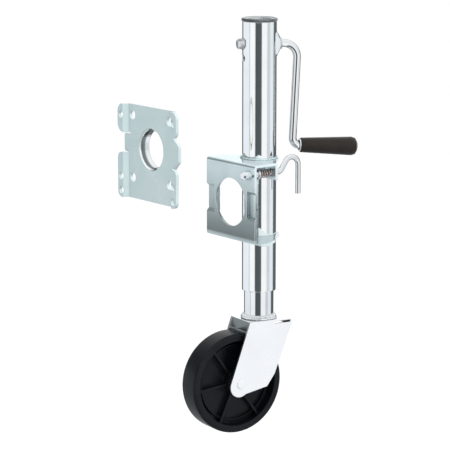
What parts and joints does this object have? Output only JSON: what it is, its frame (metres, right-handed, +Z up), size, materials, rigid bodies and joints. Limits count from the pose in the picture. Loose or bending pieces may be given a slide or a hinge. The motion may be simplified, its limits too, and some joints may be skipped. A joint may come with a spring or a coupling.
{
  "type": "trailer tongue jack",
  "caption": "Side-wind screw jack for a trailer tongue, with a swivelling wheel, a swing bracket with a lock pin, and a bolt-on pivot plate shown in front of it.",
  "frame": {"origin": "on the outer tube's axis, level with the centre of the round pivot hole in the swing bracket", "axes": "+Z up the tube, -Y out of the bracket's web towards the trailer frame, +X along the trailer frame"},
  "size_m": [0.146, 0.3436, 0.6203],
  "materials": {
    "tube_plate": "bright zinc plated tube",
    "cap_plate": "dull pressed cap",
    "zinc_sheet": "blue zinc plated sheet",
    "plate_zinc": "blue zinc plated plate",
    "yoke_zinc": "bright zinc plated sheet",
    "ram_plate": "plated inner tube",
    "rod_plate": "plated round bar",
    "bright_hardware": "plated hardware",
    "spring_wire": "spring wire",
    "inner_steel": "plain steel",
    "gear_iron": "sintered iron, greased",
    "screw_steel": "rolled thread",
    "race_steel": "ground race",
    "bush_bronze": "bronze",
    "cage_brass": "pressed cage",
    "bush_steel": "rolled bush",
    "bush_nylon": "natural nylon",
    "grip_rubber": "moulded grip",
    "wheel_plastic": "moulded wheel"
  },
  "bodies": {
    "jack_body": {"outer_tube": "tube_plate", "top_cap": "cap_plate", "swing_bracket": "zinc_sheet", "bearing_plate": "inner_steel", "crank_bush_inner": "bush_steel", "crank_bush_outer": "bush_steel", "thrust_race_upper": "race_steel", "pin_spring": "spring_wire"},
    "crank": {"crank_handle": "rod_plate", "grip_washer": "bright_hardware", "crank_washer": "bright_hardware", "crank_nut": "bright_hardware", "pinion_gear": "gear_iron", "pinion_pin": "bright_hardware"},
    "grip": {"hand_grip": "grip_rubber"},
    "screw": {"lift_screw": "screw_steel", "screw_gear": "gear_iron", "gear_pin": "bright_hardware", "thrust_race_lower": "race_steel"},
    "ball_set": {"thrust_balls": "race_steel", "ball_cage": "cage_brass"},
    "ram": {"inner_tube": "ram_plate", "lift_nut": "bush_bronze", "ram_plug": "inner_steel", "swivel_cup": "rod_plate", "kingpin": "inner_steel"},
    "caster": {"caster_yoke": "yoke_zinc", "wheel_axle": "yoke_zinc", "axle_nut": "bright_hardware", "axle_washers": "bright_hardware"},
    "wheel_body": {"wheel": "wheel_plastic", "wheel_bush": "bush_steel"},
    "pin": {"lock_pin": "rod_plate", "pin_collar": "bright_hardware"},
    "plate": {"mount_plate": "plate_zinc", "pivot_bush": "bush_nylon", "pivot_washer": "bush_nylon"}
  },
  "joints": [
    {"name": "crank_turn", "type": "hinge", "parent": "jack_body", "child": "crank", "pos_m": [0, 0, 0.231], "axis": [0.4226, 0.9063, 0], "range_deg": [0, 21600]},
    {"name": "grip_spin", "type": "hinge", "parent": "crank", "child": "grip", "pos_m": [0.02639, 0.05659, 0.07797], "axis": [0.422, 0.9051, -0.0523], "continuous": true},
    {"name": "screw_turn", "type": "hinge", "parent": "jack_body", "child": "screw", "pos_m": [0, 0, 0], "axis": [0, 0, 1], "range_deg": [-1, 14401]},
    {"name": "ball_roll", "type": "hinge", "parent": "jack_body", "child": "ball_set", "pos_m": [0, 0, 0], "axis": [0, 0, 1], "range_deg": [-1, 7201]},
    {"name": "ram_slide", "type": "slide", "parent": "jack_body", "child": "ram", "axis": [0, 0, -1], "range_m": [-0.0001, 0.2541]},
    {"name": "caster_swivel", "type": "hinge", "parent": "ram", "child": "caster", "pos_m": [0, 0, -0.18], "axis": [0, 0, 1], "continuous": true},
    {"name": "wheel_spin", "type": "hinge", "parent": "caster", "child": "wheel_body", "pos_m": [-0.00502, -0.04774, -0.275], "axis": [0.9945, -0.1045, 0], "continuous": true},
    {"name": "pin_pull", "type": "slide", "parent": "jack_body", "child": "pin", "axis": [0, 1, 0], "range_m": [0, 0.014], "stiffness_N_per_m": 400, "springref_m": -0.01, "deforming": ["pin_spring"]},
    {"name": "mount_swing", "type": "hinge", "parent": "jack_body", "child": "plate", "pos_m": [0, -0.187, 0.091], "axis": [0, 1, 0], "range_deg": [-90, 90]}
  ],
  "couplings": [
    {"joint": "screw_turn", "follows": "crank_turn", "ratio": 0.66667},
    {"joint": "ball_roll", "follows": "crank_turn", "ratio": 0.33333},
    {"joint": "ram_slide", "follows": "crank_turn", "m_per_rad": 0.00067376}
  ]
}
